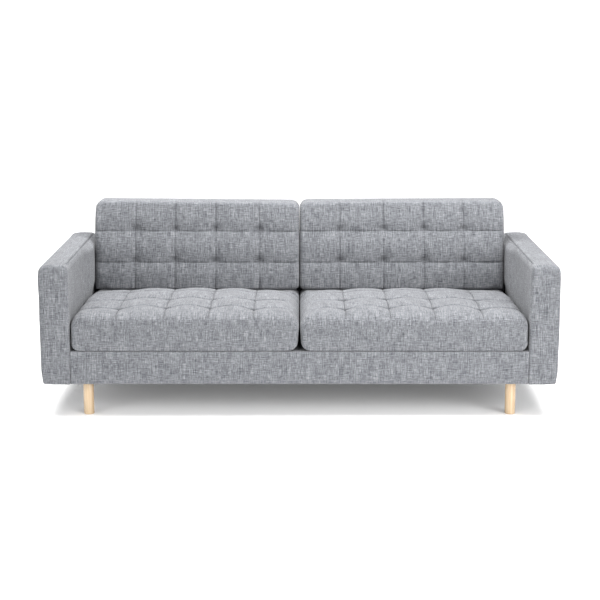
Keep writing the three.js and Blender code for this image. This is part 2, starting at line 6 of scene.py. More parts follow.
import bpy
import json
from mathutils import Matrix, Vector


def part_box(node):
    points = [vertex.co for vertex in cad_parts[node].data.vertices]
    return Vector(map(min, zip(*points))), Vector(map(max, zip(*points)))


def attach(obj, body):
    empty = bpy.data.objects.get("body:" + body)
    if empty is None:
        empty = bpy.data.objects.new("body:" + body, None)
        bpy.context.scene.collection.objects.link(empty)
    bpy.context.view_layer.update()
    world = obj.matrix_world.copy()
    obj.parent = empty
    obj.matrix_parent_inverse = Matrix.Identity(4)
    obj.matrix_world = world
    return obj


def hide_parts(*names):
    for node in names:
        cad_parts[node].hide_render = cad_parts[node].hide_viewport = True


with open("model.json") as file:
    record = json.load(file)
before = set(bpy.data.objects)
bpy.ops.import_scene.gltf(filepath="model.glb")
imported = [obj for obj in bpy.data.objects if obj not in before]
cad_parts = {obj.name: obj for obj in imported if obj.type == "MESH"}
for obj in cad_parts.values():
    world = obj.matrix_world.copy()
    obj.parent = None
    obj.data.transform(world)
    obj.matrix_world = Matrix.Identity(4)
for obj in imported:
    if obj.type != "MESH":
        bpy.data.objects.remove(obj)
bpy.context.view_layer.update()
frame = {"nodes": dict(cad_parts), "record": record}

import json
import math

import bpy
import numpy as np
from mathutils import Vector

MM = 0.001
SIDES = (("left", -1), ("right", 1))


# ---------------------------------------------------------------- materials

class Tree:
    """A node tree, with short calls for the nodes used here."""

    def __init__(self, tree):
        self.tree = tree

    def add(self, kind, **settings):
        node = self.tree.nodes.new("ShaderNode" + kind)
        for key, value in settings.items():
            setattr(node, key, value)
        return node

    def link(self, source, target):
        self.tree.links.new(source, target)

    def feed(self, target, value):
        """Links a socket, or sets a plain value."""
        if hasattr(value, "links"):
            self.link(value, target)
        else:
            target.default_value = value

    def math(self, operation, a, b, clamp=False):
        node = self.add("Math", operation=operation, use_clamp=clamp)
        self.feed(node.inputs[0], a)
        self.feed(node.inputs[1], b)
        return node.outputs[0]

    def mean(self, a, b, share):
        """The sum of a and b, of which a has that share."""
        return self.math("ADD", self.math("MULTIPLY", a, share), self.math("MULTIPLY", b, 1 - share))

    def blend(self, factor, a, b):
        """a where factor is 0, b where it is 1."""
        node = self.add("Mix", data_type="FLOAT")
        self.feed(node.inputs["Factor"], factor)
        self.feed(node.inputs["A"], a)
        self.feed(node.inputs["B"], b)
        return node.outputs["Result"]


class Material(Tree):
    """A material's node tree, which feeds its Principled shader."""

    def __init__(self, name, roughness, metallic=0, specular=0.5, sheen=0, sheen_roughness=0.5, coat=0):
        self.material = bpy.data.materials.new(name)
        self.material.use_nodes = True
        super().__init__(self.material.node_tree)
        self.shader = self.tree.nodes["Principled BSDF"]
        self.shader.inputs["Roughness"].default_value = roughness
        self.shader.inputs["Metallic"].default_value = metallic
        self.shader.inputs["Specular IOR Level"].default_value = specular
        self.shader.inputs["Sheen Weight"].default_value = sheen
        self.shader.inputs["Sheen Roughness"].default_value = sheen_roughness
        self.shader.inputs["Coat Weight"].default_value = coat

    def place(self, kind="Object", scale=(1, 1, 1)):
        """Coordinates of that kind, scaled."""
        source = self.add("TexCoord")
        mapping = self.add("Mapping")
        mapping.inputs["Scale"].default_value = scale
        self.link(source.outputs[kind], mapping.inputs["Vector"])
        return mapping.outputs["Vector"]

    def noise(self, place, detail=2.0, roughness=0.5, distortion=0.0):
        node = self.add("TexNoise")
        self.link(place, node.inputs["Vector"])
        node.inputs["Scale"].default_value = 1
        node.inputs["Detail"].default_value = detail
        node.inputs["Roughness"].default_value = roughness
        node.inputs["Distortion"].default_value = distortion
        return node.outputs["Fac"]

    def stripes(self, pitch, direction):
        """Waves across the cloth, a pitch apart."""
        node = self.add("TexWave", bands_direction=direction)
        self.link(self.place("UV"), node.inputs["Vector"])
        node.inputs["Scale"].default_value = UNIT_WAVE / pitch
        return node.outputs["Fac"]

    def ramp(self, value, *colours):
        """Colours along 0 to 1. Each is (place, (r, g, b)) in linear light."""
        node = self.add("ValToRGB")
        elements = node.color_ramp.elements
        while len(elements) < len(colours):
            elements.new(0.5)
        for element, (at, colour) in zip(elements, colours):
            element.position = at
            element.color = (*colour, 1)
        self.link(value, node.inputs["Fac"])
        return node.outputs["Color"]

    def colour(self, value):
        self.feed(self.shader.inputs["Base Color"], value)

    def bump(self, height, distance, strength):
        node = self.add("Bump")
        node.inputs["Strength"].default_value = strength
        node.inputs["Distance"].default_value = distance
        self.link(height, node.inputs["Height"])
        self.link(node.outputs["Normal"], self.shader.inputs["Normal"])


def srgb(r, g, b):
    """A colour given as 0 to 255 on screen, in linear light."""
    return tuple(((c / 255 + 0.055) / 1.055) ** 2.4 if c > 10 else c / 255 / 12.92 for c in (r, g, b))


UNIT_WAVE = math.pi / 10  # how far apart the waves of a wave texture of scale 1 are
WEAVE_PITCH = 1.7765 * MM  # two yarns of the cloth
SEAM_SHADE = (0.45, 0.45, 0.46, 1)  # what the painted shade in seams, creases and tufts leaves of the cloth's colour
# Noise on the cloth, in features per metre along its two directions.
YARN = (430, 45)
WARP_SLUB = (270, 13)
WEFT_SLUB = (19, 270)
STREAK = (34, 12)


def upholstery():
    """Melange cloth: light and dark slubs in both directions of a plain weave. UVs are in metres on it."""
    n = Material("upholstery", roughness=0.95, specular=0.2, sheen=0.12, sheen_roughness=0.6)
    warp = n.noise(n.place("UV", (*YARN, 1)), roughness=0.65)
    weft = n.noise(n.place("UV", (*YARN[::-1], 1)), roughness=0.65)
    warp_slub = n.noise(n.place("UV", (*WARP_SLUB, 1)), detail=1)
    weft_slub = n.noise(n.place("UV", (*WEFT_SLUB, 1)), detail=1)
    streak = n.noise(n.place("UV", (*STREAK, 1)))
    yarns = n.mean(warp, weft, 0.5)
    slubs = n.mean(warp_slub, weft_slub, 0.55)
    value = n.math("ADD", n.math("MULTIPLY", yarns, 0.59), n.math("MULTIPLY", slubs, 0.33))
    value = n.math("ADD", value, n.math("MULTIPLY", streak, 0.08))
    cloth = n.ramp(
        value,
        (0.37, (0.024, 0.026, 0.030)),
        (0.46, (0.085, 0.088, 0.097)),
        (0.54, (0.147, 0.152, 0.162)),
        (0.63, (0.256, 0.261, 0.275)),
    )
    # Painted shade: the seam attribute darkens the cloth where shadow falls in seams, creases and tufts.
    seam = n.add("Attribute", attribute_name="seam")
    shade = n.add("Mix", data_type="RGBA", blend_type="MULTIPLY")
    n.link(seam.outputs["Fac"], shade.inputs["Factor"])
    n.link(cloth, shade.inputs["A"])
    shade.inputs["B"].default_value = SEAM_SHADE
    n.colour(shade.outputs["Result"])
    weave = n.math("MULTIPLY", n.stripes(WEAVE_PITCH, "X"), n.stripes(WEAVE_PITCH, "Y"))
    height = n.math("ADD", n.math("MULTIPLY", weave, 0.5), value)
    n.bump(height, 0.9 * MM, 0.5)
    return n.material


def leg_wood():
    """Pale birch, clear lacquered, with fine straight grain along the leg."""
    n = Material("leg_wood", roughness=0.42, coat=0.12)
    grain = n.noise(n.place("Object", (160, 160, 5)), detail=4, roughness=0.6, distortion=0.4)
    fleck = n.noise(n.place("Object", (900, 900, 30)))
    value = n.mean(grain, fleck, 0.8)
    dark, usual, light = srgb(160, 132, 98), srgb(180, 157, 127), srgb(188, 169, 142)
    n.colour(n.ramp(value, (0.3, dark), (0.5, usual), (0.7, light)))
    n.bump(value, 0.2 * MM, 0.3)
    return n.material


def frame_timber():
    n = Material("frame_timber", roughness=0.7)
    grain = n.noise(n.place("Object", (9, 90, 90)), detail=4, roughness=0.65, distortion=0.8)
    n.colour(n.ramp(grain, (0.3, srgb(178, 132, 82)), (0.7, srgb(222, 188, 140))))
    n.bump(grain, 0.4 * MM, 0.3)
    return n.material


def frame_board():
    n = Material("frame_board", roughness=0.8)
    fibre = n.noise(n.place("Object", (300, 300, 300)), detail=5, roughness=0.7)
    n.colour(n.ramp(fibre, (0.3, srgb(120, 88, 54)), (0.7, srgb(176, 138, 94))))
    n.bump(fibre, 0.3 * MM, 0.4)
    return n.material


def padding():
    n = Material("padding", roughness=0.95)
    cells = n.noise(n.place("Object", (500, 500, 500)))
    n.colour(n.ramp(cells, (0.35, srgb(214, 204, 168)), (0.65, srgb(244, 238, 212))))
    n.bump(cells, 0.6 * MM, 0.5)
    return n.material


def steel():
    n = Material("steel", roughness=0.35, metallic=1)
    wear = n.noise(n.place("Object", (140, 140, 140)), detail=4)
    n.colour(n.ramp(wear, (0.3, srgb(132, 136, 142)), (0.7, srgb(196, 199, 203))))
    n.bump(wear, 0.1 * MM, 0.3)
    return n.material


def lining():
    """Thin black non-woven cloth."""
    n = Material("lining", roughness=0.95)
    fibre = n.noise(n.place("Object", (700, 700, 700)), detail=3, roughness=0.7)
    n.colour(n.ramp(fibre, (0.3, srgb(18, 18, 20)), (0.7, srgb(52, 52, 56))))
    n.bump(fibre, 0.2 * MM, 0.5)
    return n.material


MAKERS = (upholstery, leg_wood, frame_timber, frame_board, padding, steel, lining)
MATERIALS = {maker.__name__: maker() for maker in MAKERS}


# ---------------------------------------------------------------- pieces

def corners(node):
    """The lowest and highest corner of a node's box."""
    low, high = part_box(node)
    return np.array(low), np.array(high)


def mesh_object(name, points, quads, caps=()):
    """An object of those quads, and of caps with more sides, shaded smooth."""
    mesh = bpy.data.meshes.new(name)
    mesh.from_pydata(points.tolist(), [], quads.tolist() + list(caps))
    mesh.shade_smooth()
    mesh.update()
    piece = bpy.data.objects.new(name, mesh)
    bpy.context.scene.collection.objects.link(piece)
    return piece


def lay_cloth(piece, uvs, seam=None):
    """Maps the cloth onto a piece, and paints shade on it where seam is 1.

    uvs are the places of each face's corners on the cloth. seam is one value for each vertex: how much
    painted shade lies there.
    """
    layer = piece.data.uv_layers.new(name="cloth")
    layer.data.foreach_set("uv", uvs.reshape(-1).astype(np.float32))
    if seam is not None:
        layer = piece.data.attributes.new("seam", "FLOAT", "POINT")
        layer.data.foreach_set("value", np.clip(seam, 0, 1).astype(np.float32))


def thicken(piece, thickness):
    solidify = piece.modifiers.new("thickness", "SOLIDIFY")
    solidify.thickness = thickness


def stand_in(piece, node, body="frame", material="upholstery"):
    """Gives a piece its material and its body, and the place of its CAD node."""
    piece.data.materials.append(MATERIALS[material])
    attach(piece, body)
    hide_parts(node)


# ---------------------------------------------------------------- soft blocks

SAME_PLACE = 1.2 * MM  # two wanted places nearer than this are one
TINY = 1e-9  # keeps a division by a length of 0 from failing


def stops(low, high, spacing, marks=(), beside=(6 * MM, 16 * MM), ends=()):
    """Places from low to high, about a spacing apart.

    There is one on each mark. Beside the marks, and near low and high, there are more at the distances that
    beside and ends list.
    """
    wanted = [low, high, *marks, *(low + e for e in ends), *(high - e for e in ends)]
    wanted += [mark + way * close for mark in marks for way in (-1, 1) for close in beside]
    fixed = []
    for place in wanted:
        if low <= place <= high and all(abs(place - f) > SAME_PLACE for f in fixed):
            fixed.append(place)
    fixed.sort()
    places = []
    for a, b in zip(fixed, fixed[1:]):
        count = max(1, round((b - a) / spacing))
        places += [a + (b - a) * i / count for i in range(count)]
    return np.array([*places, high])


def halved(places):
    """The same places with one more in the middle of each gap."""
    return np.sort(np.concatenate([places, (places[1:] + places[:-1]) / 2]))


class Lattice:
    """The surface of a box cut into quads at given places along X, Y and Z."""

    def __init__(self, xs, ys, zs):
        shape = (len(xs), len(ys), len(zs))
        surface = np.ones(shape, bool)
        surface[1:-1, 1:-1, 1:-1] = False
        self.number = np.full(shape, -1)
        self.number[surface] = np.arange(surface.sum())
        self.cells = np.argwhere(surface)
        self.rest = np.stack([xs[self.cells[:, 0]], ys[self.cells[:, 1]], zs[self.cells[:, 2]]], 1)
        quads, axes = [], []
        for axis in range(3):
            for end in (0, -1):
                side = np.take(self.number, end, axis)
                a, b, c, d = side[:-1, :-1], side[1:, :-1], side[1:, 1:], side[:-1, 1:]
                if (end == 0) != (axis == 1):
                    b, d = d, b
                quads.append(np.stack([a, b, c, d], -1).reshape(-1, 4))
                axes.append(np.full(len(quads[-1]), axis))
        self.quads = np.concatenate(quads)
        self.axes = np.concatenate(axes)  # the axis that each quad faces along

    def from_coarser(self, coarser, values):
        """Values known on a lattice with every second place, filled in between."""
        low, high = self.cells // 2, (self.cells + 1) // 2
        total = 0
        for pick in np.ndindex(2, 2, 2):
            corner = np.where(np.array(pick, bool), high, low)
            total = total + values[coarser.number[corner[:, 0], corner[:, 1], corner[:, 2]]]
        return total / 8

    def uvs(self, start=1):
        """Each quad's corners on the cloth, in metres, with the weave square to the box's edges.

        start is how far along the cloth the piece is cut from.
        """
        corner = self.rest[self.quads]
        uvs = np.empty((*self.quads.shape, 2))
        for axis, (u, v) in enumerate(((1, 2), (0, 2), (0, 1))):
            facing = self.axes == axis
            uvs[facing, :, 0] = corner[facing][..., u] + start
            uvs[facing, :, 1] = corner[facing][..., v]
        return uvs


def rounded(rest, low, high, radius):
    """Points of a box's surface, moved so that its edges and corners are round.

    radius is one length for each axis, the same for all points or different for each.
    """
    low, high, radius = np.array(low), np.array(high), np.array(radius)
    inner = np.clip(rest, low + radius, high - radius)
    reach = (rest - inner) / radius
    far = np.linalg.norm(reach, axis=1, keepdims=True)
    longest = np.abs(reach).max(1, keepdims=True)
    return inner + radius * reach * np.where(far > 0, longest / np.maximum(far, TINY), 1)


def filleted(rest, low, high, corner, front, rear):
    """Points of a box's surface, moved so that its front and rear have round corners and round edges.

    corner is the radius of the corners, seen from the front. front and rear are each (how far the rounding
    reaches across the face, how far it reaches back). All of these are one length, or one for each point.
    """
    x, y, z = rest.T
    inset = np.minimum.reduce([x - low[0], high[0] - x, z - low[2], high[2] - z])
    across_face, back = inset.copy(), y.copy()
    for (wide, deep), face, sign in ((front, low[1], 1), (rear, high[1], -1)):
        depth = sign * (y - face)
        near = (inset < wide) & (depth < deep)
        a, b = 1 - inset / wide, 1 - depth / deep
        scale = np.maximum(a, b) / np.maximum(np.hypot(a, b), TINY)
        across_face = np.where(near, wide * (1 - a * scale), across_face)
        back = np.where(near, face + sign * deep * (1 - b * scale), back)
    grown = np.maximum(across_face, inset)
    flat_x = np.clip(x, low[0] + grown, high[0] - grown)
    flat_z = np.clip(z, low[2] + grown, high[2] - grown)
    flat = np.stack([flat_x, np.zeros_like(x), flat_z], 1)
    radius = np.ones_like(rest)
    radius[:, 0] = radius[:, 2] = corner
    out = rounded(flat, (low[0], -1, low[2]), (high[0], 1, high[2]), radius)
    out[:, 1] = back
    return out


def smooth_step(low, high, value):
    """0 at low, 1 at high, and an S-shaped curve between them. low may be the larger."""
    t = np.clip((value - low) / (high - low), 0, 1)
    return t * t * (3 - 2 * t)


def softly_least(a, b, width):
    """The lesser of a and b, with the bend between them rounded over a width."""
    mix = np.clip(0.5 + 0.5 * (b - a) / width, 0, 1)
    return b + (a - b) * mix - width * mix * (1 - mix)


def arch(share, sharpness):
    """0 at both ends of 0 to 1, and 1 in the middle. The lower the sharpness, the flatter it is there."""
    return np.sin(np.pi * np.clip(share, 0, 1)) ** sharpness


def ripple(points, size, height, seed):
    """A smooth random unevenness, the same on every run."""
    chance = np.random.default_rng(seed)
    waves = 12
    total = np.zeros(len(points))
    for _ in range(waves):
        direction = chance.normal(size=3)
        direction /= np.linalg.norm(direction)
        pitch = size * chance.uniform(0.6, 1.8)
        total += np.sin(points @ direction * 2 * np.pi / pitch + chance.uniform(0, 2 * np.pi))
    return total * height / math.sqrt(waves)


# ---------------------------------------------------------------- quilting

def across(place, seams):
    """How far each place is through its panel: 0 on a seam, 0.5 in the middle.

    The panels at either end have no seam on their far side, so they stay at 0.5 from the middle on.
    """
    seams = np.array(seams)
    edge = seams[1] - seams[0]
    index = np.clip(np.searchsorted(seams, place) - 1, 0, len(seams) - 2)
    share = (place - seams[index]) / (seams[index + 1] - seams[index])
    before, after = place < seams[0], place > seams[-1]
    share[before] = np.minimum(0.5, (seams[0] - place[before]) / edge)
    share[after] = np.minimum(0.5, (place[after] - seams[-1]) / edge)
    return share


def puff(u, v, rise_u, rise_v, fill):
    """Height of quilting over its tufts. u and v run 0 to 1 over a panel, from seam to seam.

    Between tufts the seams themselves rise by rise_u or rise_v, and a panel's middle rises by fill more.
    """
    su, sv = np.abs(np.sin(np.pi * u)), np.abs(np.sin(np.pi * v))
    along_u = su ** (1.7 - 1.1 * sv)
    along_v = sv ** (1.7 - 1.1 * su)
    return rise_u * along_u + rise_v * along_v + fill * along_u * along_v


def nearness(place, seams, width):
    """1 on a seam, falling to 0 a few widths from it."""
    distance = np.min(np.abs(place[:, None] - np.array(seams)[None, :]), axis=1)
    return np.exp(-((distance / width) ** 2))


def tufting(u, columns, v, rows, reach):
    """1 where a column's seam and a row's meet, falling to 0 a few reaches from there."""
    return nearness(u, columns, reach[0]) * nearness(v, rows, reach[1])


# ---------------------------------------------------------------- cushions

# A cushion is shaped with x measured out from the sofa's middle, and mirrored onto its side at the end.

STEP = 14 * MM  # spacing of the vertices in the simulation; the finished cushion has twice as many each way
NEAR_ENDS = (4 * MM, 10 * MM)  # extra rows of vertices, to make round edges
GROOVE = 2.6 * MM  # half-width of a seam's groove
ON = 1 * MM  # a vertex this near to a seam or a face is on it
UNEVEN = (90 * MM, 0.8 * MM)  # size and height of the cushions' unevenness
SEAT_SEED = 11
BACK_SEED = 23

SIM_FRAMES = 16
SIM_CAP = 9 * MM  # the furthest that the simulation moves a vertex
SIM_CLOTH = {
    "quality": 6,
    "mass": 0.15,
    "tension_stiffness": 25,
    "compression_stiffness": 25,
    "shear_stiffness": 12,
    "bending_stiffness": 0.4,
    "shrink_min": -0.02,
    "vertex_group_mass": "pin",
    "use_pressure": True,
    "uniform_pressure_force": 3,
}


def outward(node, side):
    """A node's lowest and highest corners, with x measured out from the middle on that side."""
    low, high = corners(node)
    if side < 0:
        low[0], high[0] = -high[0], -low[0]
    return low, high


def near_end(distance):
    """1 at a cushion's end, out to 30 mm from it, and 0 from 80 mm on."""
    return smooth_step(80 * MM, 30 * MM, distance)


def swelling(name, lattice, points, pinned):
    """How cloth of this shape moves when it is blown up a little from inside, held where it is pinned."""
    piece = mesh_object(name, points, lattice.quads)
    group = piece.vertex_groups.new(name="pin")
    group.add(np.nonzero(pinned)[0].tolist(), 1, "REPLACE")
    cloth = piece.modifiers.new("cloth", "CLOTH")
    for key, value in SIM_CLOTH.items():
        setattr(cloth.settings, key, value)
    cloth.settings.effector_weights.gravity = 0
    cloth.collision_settings.use_collision = False
    cloth.point_cache.frame_start = 1
    cloth.point_cache.frame_end = SIM_FRAMES
    scene = bpy.context.scene
    scene.frame_start, scene.frame_end = 1, SIM_FRAMES
    for step in range(1, SIM_FRAMES + 1):
        scene.frame_set(step)
    done = piece.evaluated_get(bpy.context.evaluated_depsgraph_get())
    out = np.empty(len(points) * 3)
    done.data.vertices.foreach_get("co", out)
    scene.frame_set(1)
    mesh = piece.data
    bpy.data.objects.remove(piece)
    bpy.data.meshes.remove(mesh)
    move = out.reshape(-1, 3) - points
    far = np.linalg.norm(move, axis=1, keepdims=True)
    return move * np.minimum(1, SIM_CAP / np.maximum(far, TINY))


def filled(name, places, shape, pins):
    """A cushion's lattice cut at those places, and its surface.

    shape gives the surface before it is filled, and pins the vertices that the filling doesn't move.
    """
    coarse = Lattice(*places)
    fine = Lattice(*(halved(p) for p in places))
    points = shape(fine.rest)
    start = shape(coarse.rest)
    moved = swelling(f"{name}_filling", coarse, start, pins(coarse.rest, start))
    points = points + fine.from_coarser(coarse, moved)
    return fine, points


def cushion(body, side, points, lattice, seam):
    """The finished cushion on its side of the sofa, riding on its own body."""
    quads, uvs = lattice.quads, lattice.uvs(side)
    if side < 0:
        quads, uvs = quads[:, ::-1], uvs[:, ::-1]
    piece = mesh_object(body, points * (side, 1, 1), quads)
    lay_cloth(piece, uvs, seam)
    stand_in(piece, f"{body}_cover", body)


# ---------------------------------------------------------------- seat cushions

SEAT_COLUMNS = (182 * MM, 357 * MM, 533 * MM, 722 * MM)  # seams, out from the sofa's middle
SEAT_ROWS = (134 * MM, 313 * MM, 492 * MM)  # seams, behind the cushion's front
SEAT_ROW_PANELS = (*SEAT_ROWS, 671 * MM)  # with one more that the back cushion hides
SEAT_LATTICE_TOP = 430 * MM  # height of the lattice's flat top, before the top is crowned
SEAT_NOSE = 397 * MM  # height at which the front turns over into the top
SEAT_NOSE_RISE = 41 * MM  # how far that turn rises
SEAT_NOSE_RUN = 55 * MM  # and how far back it takes most of its rise
SEAT_END_TUFT = 397 * MM  # height that the tufts would have at the cushion's ends
SEAT_DOME = 22.5 * MM  # how much higher they are in its middle
SEAT_ROW_RISE = (10 * MM, 3 * MM)  # of the rows' seams between two tufts, on the first row and on the last
SEAT_COLUMN_RISE = 3 * MM  # of the columns' seams between two tufts
SEAT_FILL = 5 * MM  # how much higher a panel's middle is
SEAT_COLUMN_DEPTH = 3 * MM  # of the groove along a column's seam
SEAT_ROW_DEPTH = 5.5 * MM
SEAT_PULL_DEPTH = 4 * MM  # how much deeper a row's groove is beside a column
SEAT_PULL_REACH = 30 * MM
SEAT_TUFT_DEPTH = 7 * MM
SEAT_TUFT_REACH = (18 * MM, 13 * MM)  # outwards and back
SEAT_SHELF_GAP = 2 * MM  # from the shelf at its rear to the back cushion on it
SEAT_REAR_EDGE = (10 * MM, 10 * MM)  # how far the rounding of the rear edges reaches inwards and forwards


def seat_top(out, back, middle, half):
    """Height of the quilted top, some way out from the sofa's middle and back from the cushion's front."""
    dome = SEAT_DOME * (1 - (np.abs(out - middle) / half) ** 3)
    panel = across(out, SEAT_COLUMNS)
    to_last_row = np.clip((back - SEAT_ROWS[0]) / (SEAT_ROWS[-1] - SEAT_ROWS[0]), 0, 1)
    first, last = SEAT_ROW_RISE
    row_rise = first + (last - first) * to_last_row
    quilting = puff(panel, across(back, SEAT_ROW_PANELS), row_rise, SEAT_COLUMN_RISE, SEAT_FILL)
    rear_drop = 12 * MM * (np.clip(back - 450 * MM, 0, None) / (116 * MM)) ** 2

    # Towards the other cushion the top falls away, most of all between the front and the back cushion.
    deepest = smooth_step(200 * MM, 400 * MM, back) * smooth_step(600 * MM, 480 * MM, back)
    fall = 14 * MM + 12 * MM * deepest
    fall_run = 70 * MM + 25 * MM * deepest
    inner_drop = fall * np.clip(1 - (out - middle + half) / fall_run, 0, 1) ** 2

    crown = SEAT_END_TUFT + dome + quilting - rear_drop - inner_drop
    nose = SEAT_NOSE + SEAT_NOSE_RISE * (1 - np.exp(-back / SEAT_NOSE_RUN))
    crown = softly_least(crown, nose, 6 * MM)

    # The columns' seams pull a notch into the front edge.
    at_column = (1 - np.abs(np.sin(np.pi * panel))) ** 4
    at_edge = smooth_step(0, 40 * MM, back) * smooth_step(SEAT_ROWS[0], 90 * MM, back)
    return crown - 4 * MM * at_column * at_edge


def seat_shape(rest, low, high, back_face, shelf):
    """A seat cushion's surface from its lattice: round edges, a crowned top and a shelf at the rear."""
    box_high = (high[0], high[1], SEAT_LATTICE_TOP)
    middle, half = (low[0] + high[0]) / 2, (high[0] - low[0]) / 2
    inner = near_end(rest[:, 0] - low[0])
    above_middle = rest[:, 2] > (low[2] + SEAT_LATTICE_TOP) / 2
    corner = np.where(above_middle, 40 * MM, 32 * MM + 8 * MM * inner)
    at_bottom = smooth_step(50 * MM, 15 * MM, rest[:, 2] - low[2])
    wide = (12 * MM + 7 * MM * inner) * (1 - 0.6 * at_bottom)
    points = filleted(rest, low, box_high, corner, (wide, wide), SEAT_REAR_EDGE)

    out, back = points[:, 0].copy(), points[:, 1] - low[1]
    tall = (points[:, 2] - low[2]) / (SEAT_LATTICE_TOP - low[2])
    crown = seat_top(out, back, middle, half)
    rear = back_face - low[1]
    crown += (shelf - crown) * smooth_step(rear - 20 * MM, rear - 2 * MM, back)
    points[:, 2] += (crown - SEAT_LATTICE_TOP) * smooth_step(0.35, 1, tall)

    # The front of a filled cover swells between its edges, most in its middle.
    bow = arch(tall, 0.8) * arch((out - low[0]) / (2 * half), 0.4)
    points[:, 1] += smooth_step(30 * MM, 0, back) * (2 * MM - 4 * MM * bow)

    # The inner end draws in low down at the front, and the outer end stands a little clear of the arm.
    points[:, 0] += 4 * MM * inner * smooth_step(0.65, 0.25, tall) * smooth_step(160 * MM, 0, back)
    points[:, 0] -= 3.5 * MM * smooth_step(60 * MM, 10 * MM, high[0] - rest[:, 0])
    return points


def seat_cushion(side_name, side):
    body = f"{side_name}_seat_cushion"
    low, high = outward(f"{body}_cover", side)
    back_low, _ = outward(f"{side_name}_back_cushion_cover", side)
    back_face, shelf = back_low[1], back_low[2] - SEAT_SHELF_GAP
    rows = [low[1] + row for row in SEAT_ROWS]

    def shape(rest):
        return seat_shape(rest, low, high, back_face, shelf)

    def pins(rest, start):
        column = nearness(rest[:, 0], SEAT_COLUMNS, ON) > 0.5
        row = nearness(rest[:, 1], rows, ON) > 0.5
        top, bottom = rest[:, 2] > SEAT_LATTICE_TOP - ON, rest[:, 2] < low[2] + ON
        under_back = start[:, 1] > back_face - 20 * MM
        return ((column | row) & top) | bottom | under_back

    xs = stops(low[0], high[0], STEP, SEAT_COLUMNS, ends=NEAR_ENDS)
    ys = stops(low[1], high[1], STEP, rows, ends=NEAR_ENDS)
    zs = stops(low[2], SEAT_LATTICE_TOP, STEP, ends=NEAR_ENDS)
    lattice, points = filled(body, (xs, ys, zs), shape, pins)

    # Seams and tufts are drawn into the filled cover, and painted shade darkens their grooves and creases.
    rest = lattice.rest
    out, back = rest[:, 0], rest[:, 1] - low[1]
    top = smooth_step(0.6, 0.9, (rest[:, 2] - low[2]) / (SEAT_LATTICE_TOP - low[2]))
    seen = smooth_step(0, 12 * MM, back) * smooth_step(back_face, back_face - 30 * MM, rest[:, 1])
    inside = smooth_step(20 * MM, 140 * MM, out - low[0]) * smooth_step(4 * MM, 30 * MM, high[0] - out)
    columns = nearness(out, SEAT_COLUMNS, GROOVE) * seen * top
    across_rows = nearness(back, SEAT_ROWS, 1.5 * GROOVE) * inside * top
    tufts = tufting(out, SEAT_COLUMNS, back, SEAT_ROWS, SEAT_TUFT_REACH) * top
    pulls = nearness(out, SEAT_COLUMNS, SEAT_PULL_REACH) * across_rows
    points[:, 2] -= SEAT_COLUMN_DEPTH * columns + SEAT_ROW_DEPTH * across_rows
    points[:, 2] -= SEAT_TUFT_DEPTH * tufts + SEAT_PULL_DEPTH * pulls
    points[:, 2] += ripple(points, *UNEVEN, SEAT_SEED + side) * top
    points[:, 2] = np.maximum(points[:, 2], low[2])
    # seam is painted shade where shadow falls: in the seams' grooves, the creases beside the tufts and the
    # tufts.
    seam = np.maximum(0.85 * columns, 0.95 * across_rows + 1.1 * pulls) + 1.1 * tufts
    cushion(body, side, points, lattice, seam)


# ---------------------------------------------------------------- back cushions

LEAN = math.radians(6)  # from upright
ARM_TOP = corners("left_arm_cover")[1][2]
BESIDE_ARM = (ARM_TOP + 28 * MM, ARM_TOP - 22 * MM)  # heights clear of the arm, and well beside it
BACK_COLUMNS = (175 * MM, 366 * MM, 543 * MM, 716 * MM)  # seams, out from the sofa's middle
BACK_ROWS = (513 * MM, 649 * MM)  # heights above the floor
BACK_THICKNESS = 137 * MM
BACK_BELLY = 520 * MM  # height at which a back cushion stands furthest forward
BACK_TOP_BOW = (26 * MM, 245 * MM)  # how far back its face bows, and how far above the belly
BACK_BOTTOM_BOW = (12 * MM, 120 * MM)  # and how far below the belly
BACK_TUFT = 12 * MM  # how far behind the front of its face the tufts lie
BACK_SEAM_RISE = 4 * MM  # of the seams between two tufts
BACK_FILL = 5 * MM  # how much further forward a panel's middle is
BACK_COLUMN_DEPTH = 3 * MM  # of the groove along a column's seam
BACK_ROW_DEPTH = 2.4 * MM
BACK_TUFT_DEPTH = 12 * MM  # how much deeper again the tufts are drawn in
BACK_TUFT_REACH = (20 * MM, 16 * MM)  # outwards and up
BACK_TUFT_ABOVE = 6 * MM  # from a row's seam up to the tufts' deepest places
BACK_SHADE_POOL_REACH = (18 * MM, 15 * MM)
BACK_SHADE_POOL_ABOVE = 14 * MM  # from a row's seam up to the darkest places of the painted shade
BACK_TAPER = 0.01  # how much narrower its top is
BACK_TOP_SAG = 2 * MM
BACK_TOP_DROP = {"left": 8 * MM, "right": 5 * MM}  # how much lower its top is at the sofa's middle
BACK_REAR_EDGE = (20 * MM, 20 * MM)  # how far the rounding of its rear edges reaches inwards and forwards


